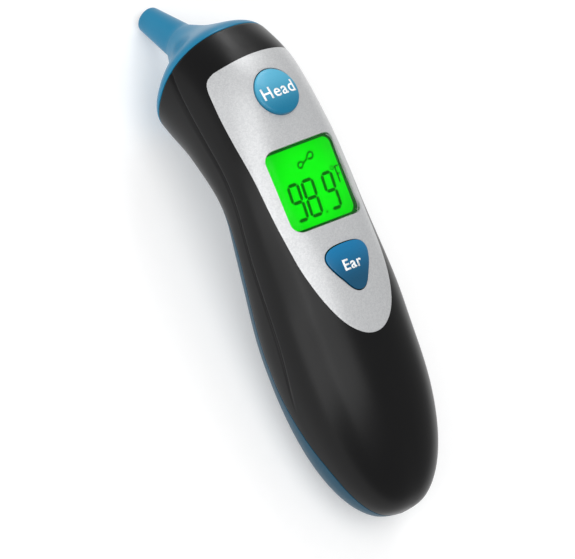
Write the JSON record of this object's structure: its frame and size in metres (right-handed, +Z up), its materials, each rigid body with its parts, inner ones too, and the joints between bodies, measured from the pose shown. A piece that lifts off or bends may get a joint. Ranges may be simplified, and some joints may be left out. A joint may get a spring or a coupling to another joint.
{
  "type": "digital ear thermometer",
  "caption": "Hand-held infrared thermometer with a black and teal shell, silver fascia, lit display, round and shield-shaped buttons, bent-back ear probe and lift-off battery door.",
  "frame": {"origin": "centre of the bounding box's bottom face, on the surface that the thermometer lies on", "axes": "+Z up, +Y along the handle from the foot towards the probe, +X to the right when the display faces up"},
  "size_m": [0.042, 0.1548, 0.0423],
  "materials": {
    "shell_black": "satin black injection moulding",
    "shell_blue": "satin teal blue injection moulding",
    "button_blue": "smooth blue button cap",
    "fascia_silver": "silver metallic paint on plastic",
    "clear_lens": "clear polished",
    "display_green": "display glass with a green backlight",
    "white_plastic": "white moulding",
    "board_green": "solder mask on fibreglass",
    "chip_black": "moulded package",
    "steel": "nickel plated",
    "gold": "gold plated tube",
    "cell_wrap": "printed film sleeve",
    "copper_flex": "amber film with copper tracks"
  },
  "bodies": {
    "casing": {"front_casing": "shell_black", "rear_casing": "shell_blue", "probe_nozzle": "shell_blue", "tip_window": "clear_lens", "waveguide_tube": "gold", "sensor_holder": "steel", "thermopile_sensor": "steel", "sensor_board": "board_green", "sensor_lead": "copper_flex", "fascia_panel": "fascia_silver", "display_lens": "clear_lens", "lcd_glass": "display_green", "lcd_backlight": "white_plastic", "lcd_holder": "white_plastic", "main_board": "board_green", "head_switch": "steel", "ear_switch": "steel", "processor_chip": "chip_black", "memory_chip": "chip_black", "buzzer": "chip_black", "board_screw_1": "steel", "board_screw_2": "steel", "board_screw_3": "steel", "board_screw_4": "steel", "casing_screw_1": "steel", "casing_screw_2": "steel", "cell_1": "cell_wrap", "cell_2": "cell_wrap", "contact_spring_1": "steel", "contact_spring_2": "steel", "head_plate_left": "steel", "head_plate_right": "steel", "foot_bridge_plate": "steel"},
    "head_button": {"head_button": "button_blue"},
    "ear_button": {"ear_button": "button_blue"},
    "battery_door": {"battery_door": "shell_blue"}
  },
  "joints": [
    {"name": "head_button_press", "type": "slide", "parent": "casing", "child": "head_button", "axis": [0, -0.1452, -0.9894], "range_m": [0, 0.0005], "stiffness_N_per_m": 3000, "springref_m": -0.0003},
    {"name": "ear_button_press", "type": "slide", "parent": "casing", "child": "ear_button", "axis": [0, 0.1097, -0.994], "range_m": [0, 0.0005], "stiffness_N_per_m": 3000, "springref_m": -0.0003},
    {"name": "battery_door_lift", "type": "slide", "parent": "casing", "child": "battery_door", "axis": [0, 0.1097, -0.994], "range_m": [0, 0.01]}
  ]
}
